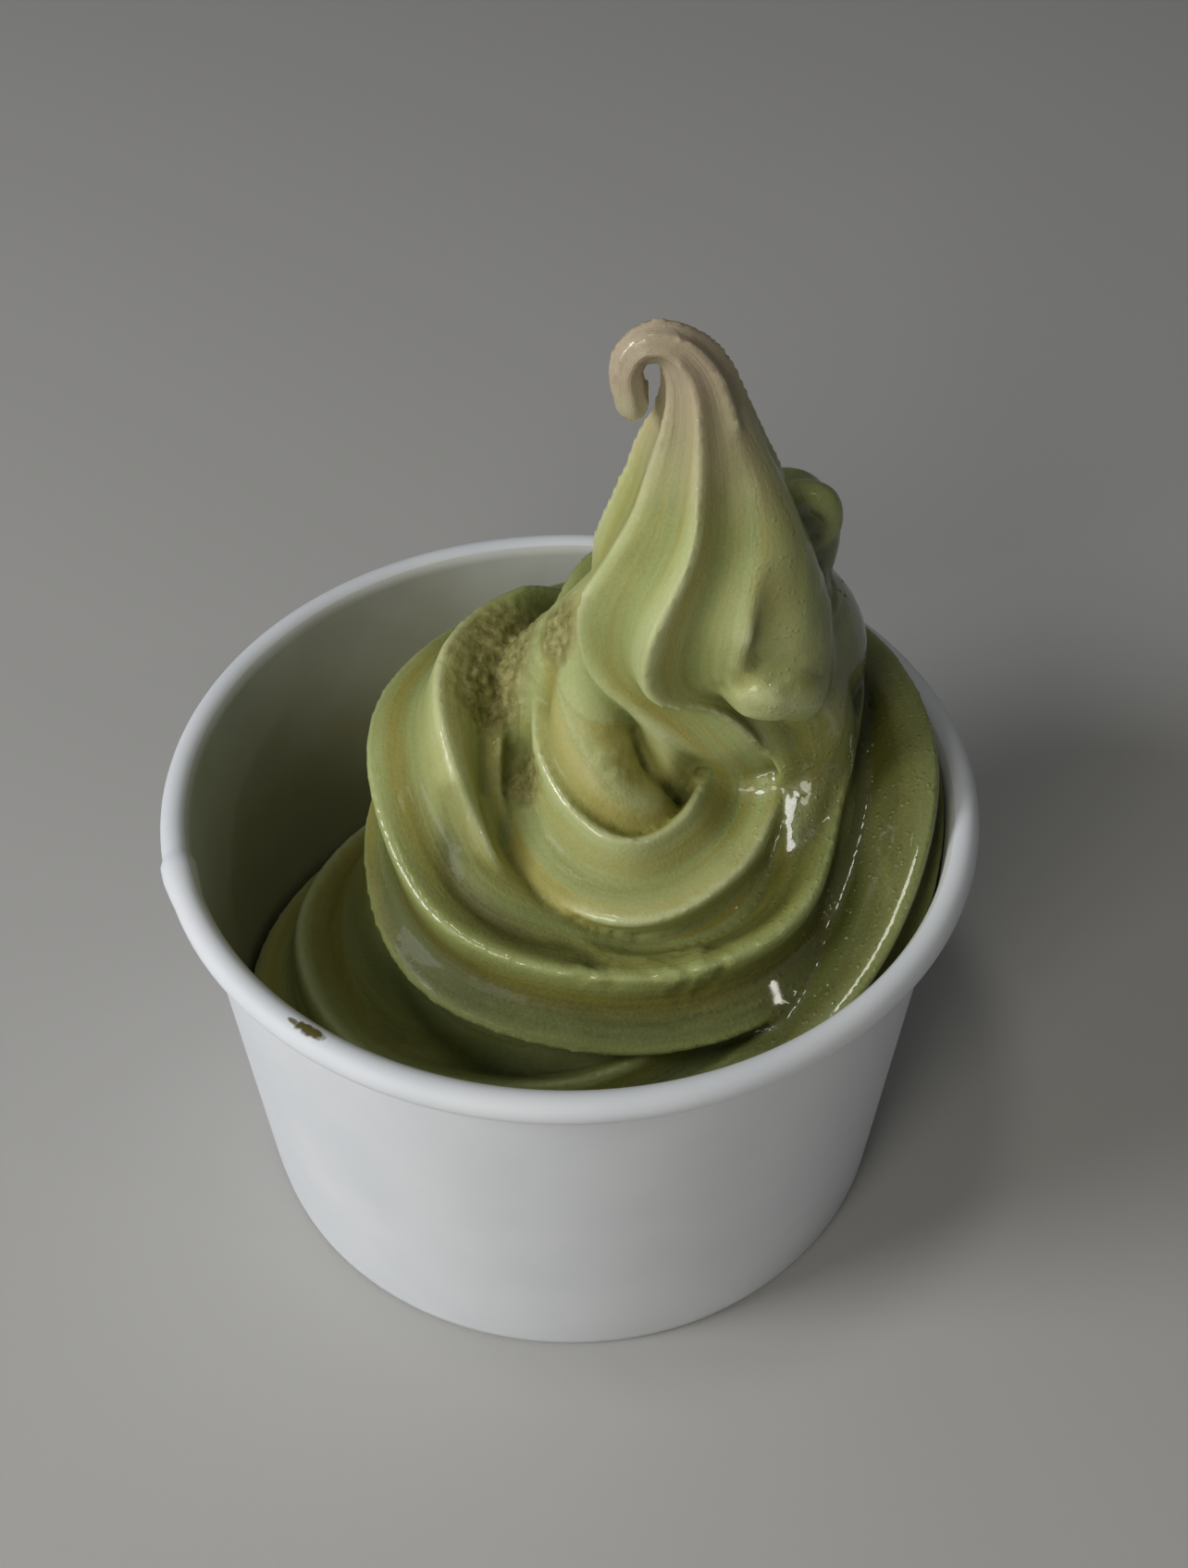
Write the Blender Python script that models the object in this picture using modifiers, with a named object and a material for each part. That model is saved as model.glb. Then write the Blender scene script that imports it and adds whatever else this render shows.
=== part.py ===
"""A paper cup of soft serve: one star-shaped rope laid in a rising coil and pulled up into a hooked tip."""

import math

import bmesh
import bpy
import numpy as np

MM = 0.001

# The paper cup, in millimetres
CUP_HEIGHT = 57.5
BASE_RADIUS = 40.0
RIM_RADIUS = 48.0
RIM_BEAD = 1.8
PAPER = 0.6
HEM_HEIGHT = 5.5
FLOOR_HEIGHT = 6.0
GAP = 0.3
CUP_SIDES = 64
BEAD_STEPS = 9

# The rope of soft serve: a star with rounded ridges and hollow valleys between them
RIDGES = 7
VALLEY_DEPTH = 0.28
RIDGE_ROUNDING = 0.12
STEPS_A_STATION = 10
POINTS_A_RIDGE = 12
STRAND_SIDES = 32
CONE_LEANS = (0.3, 3.3)
HOOK_TURNS = (4.5, 5.5)

# Each station of the rope in millimetres: x, y and z of its middle, half its width and half its
# height, the angle in degrees of its leading ridge above the rope's outward side, the share of its
# size that its inner side keeps under the next turn, and how many ridges after the leading one that
# side starts. The stations follow one another an eighth of a turn apart, anticlockwise seen from
# above, from the cup's floor.
BOTTOM_COIL = (
    (0, 27, 16, 12, 11, 0, 1, 0.1),
    (-20, 20, 18, 12, 12, 5, 1, 0.1),
    (-28, 0, 21, 13, 13, 10, 1, 0.1),
    (-20, -20, 25, 13, 13, 15, 0.95, 0.1),
    (2, -27, 31, 13, 13, 20, 0.8, 0.1),
    (23, -19, 42, 14, 12, 34, 0.7, 0.1),
    (33, -1, 53, 14.5, 11, 48, 0.65, 0.1),
    (26, 16, 57, 14, 11, 40, 0.65, 0.1),
    (7, 20, 59, 12, 12, 22, 0.7, 0.4),
)
MIDDLE_COIL = (
    (-7.5, 11, 60, 12.5, 12.5, 14, 0.6, 1.3),
    (-12.5, -2, 57.5, 12.5, 12, 29, 0.55, 1.2),
    (-9, -16, 48.5, 11.5, 10.5, 50, 0.55, 0.9),
    (6, -20, 45.5, 11.5, 10.5, 52, 0.55, 0.3),
    (19, -16, 47.5, 11.5, 10.5, 50, 0.5, 0.1),
    (23.5, -4, 52, 12, 10.5, 48, 0.5, 0.1),
    (24, 10, 63, 13, 13, 42, 0.6, 0.1),
    (10, 15, 68, 12, 12, 40, 0.8, 0.1),
)
TOP_COIL = (
    (3.5, 2, 61, 11, 11, 45, 1, 0.1),
    (3, -6, 55, 11, 11, 62, 1, 0.1),
    (7, -10.5, 51, 11, 10.5, 76, 1, 0.1),
    (13.5, -8.5, 50.5, 11, 10.5, 92, 1, 0.1),
    (18.5, -2.5, 50.5, 11, 11, 108, 1, 0.1),
)
# From here the rope is pulled straight up, thinning into the cone and the hook
CONE = (
    (17.5, -3, 58, 11, 11, 119, 1, 0.1),
    (14.5, 1.5, 69, 11.5, 11.5, 139, 1, 0.1),
    (12.8, 1.5, 79, 12.3, 12, 162, 1, 0.1),
    (13, 0.5, 88, 12.3, 12, 163, 1, 0.1),
    (14, 0, 98, 9.5, 9.5, 152, 1, 0.1),
    (13.8, -0.5, 105, 7.4, 7.4, 147, 1, 0.1),
    (13.6, -1, 110.5, 5.2, 5.2, 147, 1, 0.1),
)
HOOK = (
    (12.6, -1, 115.5, 3.8, 3.8, 145, 1, 0.1),
    (10.4, -1.2, 118.7, 2.7, 2.7, 145, 1, 0.1),
    (7.6, -1.5, 119, 2.2, 2.2, 145, 1, 0.1),
    (6, -1.8, 116.5, 2, 2, 145, 1, 0.1),
    (6.4, -2, 112.8, 2, 2, 145, 1, 0.1),
    (6.6, -2.1, 111.1, 1.6, 1.6, 145, 1, 0.1),
    (6.7, -2.1, 110.2, 0.5, 0.5, 145, 1, 0.1),
)

# Smaller folds, each a round strand: x, y and z of its middle and its radius
INNER_FOLD = (
    (6.2, 4, 81, 4.5),
    (3.8, 2.5, 74, 4.8),
    (2.5, -1, 67, 4.8),
    (3.8, -5, 61.8, 4.8),
    (7.2, -6.4, 58.6, 4.5),
    (10.2, -5.8, 56, 3.3),
)
TORN_SKIRT = (
    (-4, 9, 60, 8),
    (0, 9, 66, 7.5),
    (4, 7, 73, 7),
    (8, 5, 82, 5.5),
)
SHOULDER = (
    (18.5, 2, 93, 4),
    (21, 2, 86, 6.5),
    (23.5, 4, 78.5, 8.5),
    (25.5, 8, 71, 9),
    (26, 12, 64, 8),
)
EAR = (
    (19, 4, 93.5, 4),
    (23.8, 4.5, 94, 4.2),
    (25.8, 5, 90, 3.8),
    (23.5, 5, 83, 5),
)
EAR_LIP = (
    (19, 1.5, 95, 1.5),
    (22.8, 2, 97.3, 1.7),
    (26.8, 2.5, 96.5, 1.8),
    (27.8, 2.5, 93, 1.5),
    (25.3, 1.5, 91, 1.2),
)
SIDE_FOLD = (
    (21, 1, 85, 4),
    (24.5, 0, 77, 5),
    (27.5, 1, 68, 5),
    (28.5, -0.5, 60, 4.5),
    (26.5, -9, 51, 4),
)
CONE_FOLD = (
    (15.5, -1, 111, 2.6),
    (17, -2, 105, 3.6),
    (19.3, -2.5, 98, 4.6),
    (21.3, -2.5, 91, 5.2),
    (23, -2.5, 83, 5.6),
    (24.5, -1.5, 75, 5),
)
FRONT_FOLD = (
    (-12.5, -5, 58, 3.8),
    (-11.5, -11.5, 56, 4),
    (-8, -16, 53.5, 4),
    (-2.5, -19.5, 51, 3.8),
    (4, -20, 48, 4),
    (12, -18, 46.5, 5),
    (20, -12, 47.5, 5),
)
STRANDS = (INNER_FOLD, TORN_SKIRT, SHOULDER, EAR, EAR_LIP, SIDE_FOLD, CONE_FOLD, FRONT_FOLD)

# The soft serve fills the cup below its coils: radius and height of the fill's outline
FILL = ((39.0, 6.5), (41.0, 20), (34.0, 28), (24.0, 46), (8.0, 54))
FILL_MIDDLE = (4.0, 0.0)

# Where one fold has melted into the next: x, y and z of the middle, and how far it reaches
MELTED = (
    (26, -1, 76, 7),
    (28, 3, 64, 5),
    (21, 1, 91, 4),
    (8.5, -4, 105, 4.5),
    (6.5, -3.5, 99, 5.5),
    (4.5, -3.5, 93, 5),
    (17, -5, 107, 4),
    (19.5, -6, 100, 5),
    (20.8, -6, 92, 5.5),
    (21.5, -5.5, 84, 5.5),
)
MELTED_AREA = 15

CREAM_VOXEL = 0.8
CREAM_SMOOTHINGS = 2
CREAM_TRIANGLES = 9000


def clear_scene():
    for item in list(bpy.data.objects):
        bpy.data.objects.remove(item)


def material(name, colour, roughness):
    made = bpy.data.materials.new(name)
    made.use_nodes = True
    shader = made.node_tree.nodes["Principled BSDF"]
    shader.inputs["Base Color"].default_value = (*colour, 1)
    shader.inputs["Roughness"].default_value = roughness
    shader.inputs["Metallic"].default_value = 0
    return made


def wall_radius(z):
    """The outer radius of the cup's side wall, at a height in millimetres."""
    top = RIM_RADIUS - 2 * RIM_BEAD
    return BASE_RADIUS + (top + PAPER - BASE_RADIUS) * z / (CUP_HEIGHT - RIM_BEAD)


def inner_radius(z):
    return wall_radius(z) - PAPER


def turned(name, outline, finish, collection):
    """A solid turned about the vertical axis from an outline of radius and height.

    The outline runs down its outer side. It closes on itself unless both its ends are on the axis.
    """
    mesh = bpy.data.meshes.new(name)
    points = [(radius * MM, 0, z * MM) for radius, z in outline]
    edges = [(i, i + 1) for i in range(len(points) - 1)]
    if outline[0][0] > 0:
        edges.append((len(points) - 1, 0))
    mesh.from_pydata(points, edges, [])
    made = bpy.data.objects.new(name, mesh)
    collection.objects.link(made)
    screw = made.modifiers.new("Turned", "SCREW")
    screw.steps = CUP_SIDES
    screw.render_steps = CUP_SIDES
    screw.use_merge_vertices = True
    screw.merge_threshold = 0.00001
    mesh.materials.append(finish)
    return made


def smooth_path(stations, steps):
    """A smooth curve through the stations, with a few steps from each to the next."""
    knots = np.array(stations, float)
    slopes = np.gradient(knots, axis=0)
    place = np.linspace(0, len(knots) - 1, (len(knots) - 1) * steps + 1)
    first = np.minimum(place.astype(int), len(knots) - 2)
    u = (place - first)[:, None]
    return (
        (2 * u**3 - 3 * u**2 + 1) * knots[first]
        + (u**3 - 2 * u**2 + u) * slopes[first]
        + (3 * u**2 - 2 * u**3) * knots[first + 1]
        + (u**3 - u**2) * slopes[first + 1]
    )


def unit(vectors):
    return vectors / np.linalg.norm(vectors, axis=-1, keepdims=True)


def eased(place, start, end):
    share = np.clip((place - start) / (end - start), 0, 1)[:, None]
    return share * share * (3 - 2 * share)


def rope_frames(centres, cone_start):
    """Along the rope, the outward and the upward direction of its section.

    In the coil each section stands upright. From the cone's start its outward side points to the
    right and its top leans over to face the front, and in the hook it turns with the hook.
    """
    place = np.arange(len(centres)) / STEPS_A_STATION - cone_start
    ahead = unit(np.gradient(centres, axis=0))
    level = unit(np.cross(ahead, [0.0, 0.0, 1.0]))
    in_cone = eased(place, -0.5, 0.5)
    outward = unit(level * (1 - in_cone) + np.array([1.0, 0.0, 0.0]) * in_cone)
    lean = eased(place, *CONE_LEANS) * math.pi / 2
    upward = np.cos(lean) * [0.0, 0.0, 1.0] + np.sin(lean) * [0.0, -1.0, 0.0]
    in_hook = eased(place, *HOOK_TURNS)
    outward = unit(outward * (1 - in_hook) + np.cross(ahead, [0.0, -1.0, 0.0]) * in_hook)
    return outward, upward


def star_radius(angle):
    """The section's radius as a share of its size: 1 on a ridge, less in the valleys."""
    dip = np.sqrt(np.sin(RIDGES * angle / 2) ** 2 + RIDGE_ROUNDING**2) - RIDGE_ROUNDING
    return 1 - VALLEY_DEPTH * dip


def rope_mesh(stations, cone_start):
    """The closed surface of the rope, as points and faces."""
    path = smooth_path(stations, STEPS_A_STATION)
    centres = path[:, :3]
    outward, upward = rope_frames(centres, cone_start)
    around = RIDGES * POINTS_A_RIDGE
    angle = np.arange(around) * 2 * math.pi / around
    radius = star_radius(angle) * (1 - (1 - path[:, 6:7]) * settled_side(angle, path[:, 7]))
    turned_by = np.radians(path[:, 5])[:, None] + angle[None, :]
    across = (np.cos(turned_by) * radius * path[:, 3:4])[..., None] * outward[:, None]
    rise = (np.sin(turned_by) * radius * path[:, 4:5])[..., None] * upward[:, None]
    return tube(centres[:, None] + across + rise)


def settled_side(angle, starts):
    """How much of its section's settling each point takes: all of it from the start, a little on."""
    ridge = angle / (2 * math.pi / RIDGES)
    after = np.clip((ridge[None, :] - starts[:, None]) / 0.5, 0, 1)
    before = np.clip((5.8 - ridge[None, :]) / 0.8, 0, 1)
    share = np.minimum(after, before)
    return share * share * (3 - 2 * share)


def strand_mesh(stations):
    """The closed surface of a round strand through its stations."""
    path = smooth_path(stations, STEPS_A_STATION)
    centres = path[:, :3]
    ahead = unit(np.gradient(centres, axis=0))
    beside = unit(np.cross(ahead, [0.35, -0.9, 0.2]))
    above = np.cross(beside, ahead)
    around = STRAND_SIDES
    angle = np.arange(around) * 2 * math.pi / around
    ring = np.cos(angle)[None, :, None] * beside[:, None] + np.sin(angle)[None, :, None] * above[:, None]
    points = centres[:, None] + ring * path[:, 3][:, None, None]
    return tube(points)


def tube(rings):
    """Points and faces of a tube through the rings, closed at both ends."""
    rows, around = rings.shape[:2]
    faces = []
    for row in range(rows - 1):
        for side in range(around):
            after = (side + 1) % around
            here = row * around
            above = here + around
            faces.append((here + side, above + side, above + after, here + after))
    faces.append(tuple(range(around)))
    faces.append(tuple(reversed(range((rows - 1) * around, rows * around))))
    return rings.reshape(-1, 3), faces


def mesh_object(name, points, faces, collection):
    mesh = bpy.data.meshes.new(name)
    mesh.from_pydata([tuple(p) for p in points * MM], [], faces)
    made = bpy.data.objects.new(name, mesh)
    collection.objects.link(made)
    return made


def applied(item, modifier):
    bpy.context.view_layer.objects.active = item
    bpy.ops.object.modifier_apply(modifier=modifier.name)


def hem_radii():
    """Outer and inner radius of the wall's paper where it is folded up inside the base."""
    outer = wall_radius(0) - 2 * PAPER - 2 * GAP
    return outer, outer - PAPER


def build_wall(collection, finish):
    """The side wall with its rolled rim above and its folded hem below."""
    hem_outer, hem_inner = hem_radii()
    hem_top = HEM_HEIGHT - PAPER - 2 * GAP
    bead_z = CUP_HEIGHT - RIM_BEAD
    bead_r = RIM_RADIUS - RIM_BEAD
    under_bead = bead_z - RIM_BEAD * math.cos(math.radians(40))
    bead = []
    for step in range(BEAD_STEPS + 1):
        turn = math.radians(-70 + step * 250 / BEAD_STEPS)
        bead.append((bead_r + RIM_BEAD * math.cos(turn), bead_z + RIM_BEAD * math.sin(turn)))
    outline = [
        (hem_outer, PAPER),
        (hem_outer, hem_top),
        (hem_inner, hem_top),
        (hem_inner, 0),
        (wall_radius(0), 0),
        (wall_radius(under_bead), under_bead),
        *bead,
        (inner_radius(under_bead), under_bead),
        (inner_radius(PAPER), PAPER),
    ]
    outline.reverse()
    return turned("cup_wall", outline, finish, collection)


def build_base(collection, finish):
    """The round base, set up inside the wall with its skirt turned down into the hem."""
    skirt = wall_radius(0) - PAPER - GAP
    outline = [
        (0, FLOOR_HEIGHT),
        (skirt, FLOOR_HEIGHT),
        (skirt, PAPER + GAP),
        (skirt - PAPER, PAPER + GAP),
        (skirt - PAPER, FLOOR_HEIGHT - PAPER),
        (0, FLOOR_HEIGHT - PAPER),
    ]
    return turned("cup_base", outline, finish, collection)


def fill_mesh():
    """A plain round mass under the coils, so that nothing below them is hollow."""
    angle = np.arange(STRAND_SIDES) * 2 * math.pi / STRAND_SIDES
    rings = []
    for share, (radius, z) in enumerate(FILL):
        off = share / (len(FILL) - 1)
        x = np.cos(-angle) * radius + FILL_MIDDLE[0] * off
        y = np.sin(-angle) * radius + FILL_MIDDLE[1] * off
        rings.append(np.stack([x, y, np.full(len(angle), float(z))], axis=1))
    return tube(np.array(rings))


def inside_cup(points):
    """The points, with any that reach into the paper brought back to a small gap from it."""
    x, y, z = points.T
    height = np.maximum(z, FLOOR_HEIGHT + GAP)
    reach = np.hypot(x, y)
    room = inner_radius(height) - GAP
    held = height < CUP_HEIGHT + RIM_BEAD
    share = np.where(held & (reach > room), room / np.maximum(reach, 1), 1)
    return np.stack([x * share, y * share, height], axis=1)


def joined_surfaces(surfaces):
    points = []
    faces = []
    for some_points, some_faces in surfaces:
        start = sum(len(group) for group in points)
        points.append(some_points)
        faces.extend(tuple(start + corner for corner in face) for face in some_faces)
    return np.concatenate(points), faces


def keep_largest_body(mesh):
    """Removes scraps and inner shells, keeping the body with the most faces."""
    work = bmesh.new()
    work.from_mesh(mesh)
    unseen = set(work.verts)
    bodies = []
    while unseen:
        body = {unseen.pop()}
        edge_of_body = list(body)
        while edge_of_body:
            vertex = edge_of_body.pop()
            for edge in vertex.link_edges:
                other = edge.other_vert(vertex)
                if other not in body:
                    body.add(other)
                    edge_of_body.append(other)
        unseen -= body
        bodies.append(body)
    bodies.sort(key=len)
    scraps = [vertex for body in bodies[:-1] for vertex in body]
    bmesh.ops.delete(work, geom=scraps, context="VERTS")
    work.to_mesh(mesh)
    work.free()


def melt_places(item, voxel):
    """Smooths the skin where its folds have melted together, by the same amount at any voxel size."""
    points = np.array([vertex.co for vertex in item.data.vertices]) / MM
    amount = np.zeros(len(points))
    for x, y, z, reach in MELTED:
        distance = np.linalg.norm(points - [x, y, z], axis=1)
        amount = np.maximum(amount, np.clip(1.5 - 1.5 * distance / reach, 0, 1))
    group = item.vertex_groups.new(name="melted")
    for row in np.flatnonzero(amount):
        group.add([int(row)], float(amount[row]), "REPLACE")
    smooth = item.modifiers.new("Melted", "SMOOTH")
    smooth.factor = 0.5
    smooth.iterations = round(MELTED_AREA / voxel**2)
    smooth.vertex_group = group.name
    applied(item, smooth)
    item.vertex_groups.clear()


def build_cream(collection, finish):
    """The rope, its strands and the fill under them, made one skin."""
    stations = BOTTOM_COIL + MIDDLE_COIL + TOP_COIL + CONE + HOOK
    cone_start = len(BOTTOM_COIL + MIDDLE_COIL + TOP_COIL) - 1
    surfaces = [rope_mesh(stations, cone_start), fill_mesh()]
    for strand in STRANDS:
        surfaces.append(strand_mesh(strand))
    points, faces = joined_surfaces(surfaces)
    cream = mesh_object("soft_serve", points, faces, collection)
    remesh = cream.modifiers.new("One skin", "REMESH")
    remesh.mode = "VOXEL"
    remesh.voxel_size = CREAM_VOXEL * MM
    applied(cream, remesh)
    keep_largest_body(cream.data)
    melt_places(cream, CREAM_VOXEL)
    smooth = cream.modifiers.new("Softened", "SMOOTH")
    smooth.factor = 0.5
    smooth.iterations = CREAM_SMOOTHINGS
    applied(cream, smooth)
    decimate = cream.modifiers.new("Lighter", "DECIMATE")
    decimate.ratio = CREAM_TRIANGLES / (2 * len(cream.data.polygons))
    decimate.use_collapse_triangulate = True
    applied(cream, decimate)
    points = np.array([vertex.co for vertex in cream.data.vertices]) / MM
    for vertex, place in zip(cream.data.vertices, inside_cup(points)):
        vertex.co = place * MM
    cream.data.materials.append(finish)
    return cream


def build():
    clear_scene()
    collection = bpy.data.collections.new("soft_serve_cup")
    bpy.context.scene.collection.children.link(collection)
    paper = material("paper", (0.75, 0.76, 0.78), 0.6)
    matcha = material("matcha_soft_serve", (0.22, 0.26, 0.07), 0.3)
    build_wall(collection, paper)
    build_base(collection, paper)
    build_cream(collection, matcha)


build()
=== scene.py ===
# %% [markdown]
# # A paper cup of green tea soft serve
# Soft serve leaves the machine through a star-shaped nozzle as a soft rope with seven ridges. The cup
# is turned under it, so the rope lies in a rising coil, and a last pull upwards leaves a cone with a
# hooked tip. This lesson makes the cup and the rope in the same way: the paper as a turned outline,
# and the cream as one long star-shaped rope laid through a few stations, then melted into one skin.

# %% The frame and its size
import math
import random

import bmesh
import bpy
import mathutils
import numpy as np
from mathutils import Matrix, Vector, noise
from mathutils.kdtree import KDTree


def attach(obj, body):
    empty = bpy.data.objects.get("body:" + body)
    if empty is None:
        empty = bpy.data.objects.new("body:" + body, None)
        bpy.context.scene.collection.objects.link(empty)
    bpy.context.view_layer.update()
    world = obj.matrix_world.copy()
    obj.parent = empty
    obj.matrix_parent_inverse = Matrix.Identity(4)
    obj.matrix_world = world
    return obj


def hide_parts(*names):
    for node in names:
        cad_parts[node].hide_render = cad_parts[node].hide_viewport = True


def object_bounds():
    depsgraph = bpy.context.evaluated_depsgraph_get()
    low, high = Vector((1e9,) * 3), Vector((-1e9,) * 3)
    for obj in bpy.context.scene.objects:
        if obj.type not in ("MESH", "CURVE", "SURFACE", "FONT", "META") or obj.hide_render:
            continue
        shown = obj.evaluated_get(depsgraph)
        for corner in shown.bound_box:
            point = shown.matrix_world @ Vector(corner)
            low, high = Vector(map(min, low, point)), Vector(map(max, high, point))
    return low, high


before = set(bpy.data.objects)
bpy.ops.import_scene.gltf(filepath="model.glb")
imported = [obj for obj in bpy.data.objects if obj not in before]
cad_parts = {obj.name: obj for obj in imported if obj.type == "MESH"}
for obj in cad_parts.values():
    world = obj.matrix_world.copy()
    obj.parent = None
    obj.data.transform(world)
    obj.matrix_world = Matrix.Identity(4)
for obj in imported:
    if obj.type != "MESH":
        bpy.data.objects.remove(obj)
cad_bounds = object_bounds()
MM = 0.001
print("nodes in the frame:", sorted(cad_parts))

# %% [markdown]
# Colours are written as the sRGB hex values that a colour picker shows. Blender's shaders work in
# linear light, so one function turns each of them over. A second small function adds a shader node
# with its settings and links, which keeps every material below readable as a list of steps.

# %% Colours and shader nodes
def linear(hex_colour):
    """An sRGB hex colour as linear red, green, blue and alpha."""
    channels = [int(hex_colour[i:i + 2], 16) / 255 for i in (1, 3, 5)]
    return (*[c / 12.92 if c <= 0.04045 else ((c + 0.055) / 1.055) ** 2.4 for c in channels], 1.0)


def add_node(tree, kind, settings=None, **links):
    """A shader node with its settings and its inputs.

    An input is given by socket name, with spaces as underscores, or as _0, _1 and so on. It takes a
    value, another node's output, or another node, which stands for its first output.
    """
    node = tree.nodes.new(kind)
    for name, value in (settings or {}).items():
        setattr(node, name, value)
    for name, value in links.items():
        key = int(name[1:]) if name[0] == "_" else name.replace("_", " ")
        if isinstance(value, bpy.types.Node):
            value = value.outputs[0]
        if isinstance(value, bpy.types.NodeSocket):
            tree.links.new(value, node.inputs[key])
        else:
            node.inputs[key].default_value = value
    return node


def new_material(name):
    """An empty node material with its Principled shader."""
    made = bpy.data.materials.new(name)
    made.use_nodes = True
    return made, made.node_tree, made.node_tree.nodes["Principled BSDF"]


def set_stops(ramp, stops):
    """Gives a colour ramp its stops, each a position and a hex colour."""
    for element, (position, colour) in zip(ramp.elements, (stops[0], stops[-1])):
        element.position = position
        element.color = linear(colour)
    for position, colour in stops[1:-1]:
        ramp.elements.new(position).color = linear(colour)

# %% [markdown]
# The cup is solid bleached board, coated on both sides, which gives a matt white with a faint blue
# cast. Its side is one sheet rolled into a cone: the sheet's ends overlap in a glued seam, its top
# edge is rolled outwards into a bead that stiffens the rim, and its bottom edge is folded up round
# the skirt of the base. A Screw modifier would turn the outline, but it could not thicken the bead
# where the seam runs through it, so each column of points is worked out for its own angle.

# %% Sizes of the cup, in millimetres
CUP_HEIGHT = 57.5
BASE_RADIUS = 40.0
RIM_RADIUS = 48.0
RIM_BEAD = 1.8
PAPER = 0.6
HEM_HEIGHT = 5.5
FLOOR_HEIGHT = 6.0
GAP = 0.3
CUP_COLUMNS = 300
BEAD_STEPS = 18
RIM_INSET = 0.15
# Degrees round the rim's bead: where the wall meets it, where its curl starts and how far it goes
BEAD_UNDERSIDE = 40
BEAD_FROM = -70
BEAD_SWEEP = 250
SEAM_ANGLE = math.radians(193.5)
SEAM_STEP = 0.35
SEAM_EDGE = 0.25
SEAM_WIDTH = 7.0
SEAM_LEVEL_SHARE = 0.4
SEAM_ON_WALL = 0.4
# How far a thin paper cup is out of round: its wall in two and in five waves, its rim in three
WALL_SWAYS = (0.12, 0.07)
RIM_SWAY = 0.05
OUTSIDE_SHARES = (0.02, 0.15, 0.3, 0.45, 0.6, 0.75, 0.9, 0.97)
INSIDE_SHARES = (0.98, 0.8, 0.55, 0.3, 0.1)


def wall_radius(z):
    """The outer radius of the cup's side wall at a height."""
    top = RIM_RADIUS - 2 * RIM_BEAD
    return BASE_RADIUS + (top + PAPER - BASE_RADIUS) * z / (CUP_HEIGHT - RIM_BEAD)


def inner_radius(z):
    return wall_radius(z) - PAPER

# %% [markdown]
# One section of the wall runs from inside the hem, round the foot, up the outside, round the rolled
# bead and down the inside. It changes a little with the angle: at the seam the sheet lies double, and
# a thin cup is never quite round. Those small errors are what makes it read as paper.

# %% The side wall with its seam, rolled rim and folded hem
def seam_height(angle):
    """How far the overlapping end of the sheet stands out: a sharp step on one side, none elsewhere."""
    past = (angle - SEAM_ANGLE) % (2 * math.pi) * RIM_RADIUS
    if past > SEAM_WIDTH:
        return 0.0
    step_in = min(past / SEAM_EDGE, 1)
    level = SEAM_LEVEL_SHARE * SEAM_WIDTH
    fade = 1 - max(0.0, (past - level) / (SEAM_WIDTH - level))
    return SEAM_STEP * step_in * fade


def wall_outline(angle):
    """The wall's section at one angle, round from inside the hem to the rim and down the inside."""
    seam = seam_height(angle)
    sway = WALL_SWAYS[0] * math.sin(2 * angle + 0.7) + WALL_SWAYS[1] * math.sin(5 * angle)
    bead = RIM_BEAD + seam - RIM_SWAY * (1 - math.sin(3 * angle + 1))
    hem_outer = wall_radius(0) - 2 * PAPER - 2 * GAP
    hem_top = HEM_HEIGHT - PAPER - 2 * GAP
    bead_z = CUP_HEIGHT - RIM_BEAD
    bead_r = RIM_RADIUS - RIM_BEAD - RIM_INSET
    under_bead = bead_z - RIM_BEAD * math.cos(math.radians(BEAD_UNDERSIDE))
    # The hem's fold and the foot are rounded off by a few tenths of a millimetre
    points = [(hem_outer, PAPER), (hem_outer, hem_top), (hem_outer - PAPER, hem_top)]
    points += [(hem_outer - PAPER, 0.4), (hem_outer - PAPER + 0.3, 0), (wall_radius(0) - 0.5, 0)]
    points.append((wall_radius(0) - 0.1, 0.2))
    for share in OUTSIDE_SHARES:
        z = under_bead * share
        points.append((wall_radius(z) + SEAM_ON_WALL * seam + sway * share * (1 - share), z))
    points.append((wall_radius(under_bead) - 0.05, under_bead))
    for step in range(BEAD_STEPS + 1):
        turn = math.radians(BEAD_FROM + step * BEAD_SWEEP / BEAD_STEPS)
        points.append((bead_r + bead * math.cos(turn), bead_z + bead * math.sin(turn)))
    for share in INSIDE_SHARES:
        z = under_bead * share
        points.append((inner_radius(z) + sway * share * (1 - share), z))
    points.append((inner_radius(PAPER), PAPER))
    return points


def turned_wall(name):
    """A closed ring of columns, one outline to each angle."""
    columns = []
    for number in range(CUP_COLUMNS):
        angle = number * 2 * math.pi / CUP_COLUMNS
        turn = np.array([math.cos(angle), math.sin(angle)])
        columns.append([(*(turn * radius), z) for radius, z in wall_outline(angle)])
    rows = len(columns[0])
    points = [point for column in columns for point in column]
    faces = []
    for number in range(CUP_COLUMNS):
        here = number * rows
        after = (number + 1) % CUP_COLUMNS * rows
        for row in range(rows):
            above = (row + 1) % rows
            faces.append((here + row, after + row, after + above, here + above))
    return new_piece(name, np.array(points), faces)


def new_piece(name, points, faces):
    """A mesh object from points in millimetres."""
    mesh = bpy.data.meshes.new(name)
    mesh.from_pydata([tuple(point) for point in points * MM], [], faces)
    mesh.validate()
    made = bpy.data.objects.new(name, mesh)
    bpy.context.scene.collection.objects.link(made)
    made.data.shade_smooth()
    return made


cup_wall = turned_wall("cup_paper_wall")
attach(cup_wall, "root")
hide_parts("cup_wall")
print("cup wall:", len(cup_wall.data.polygons), "faces")
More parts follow.
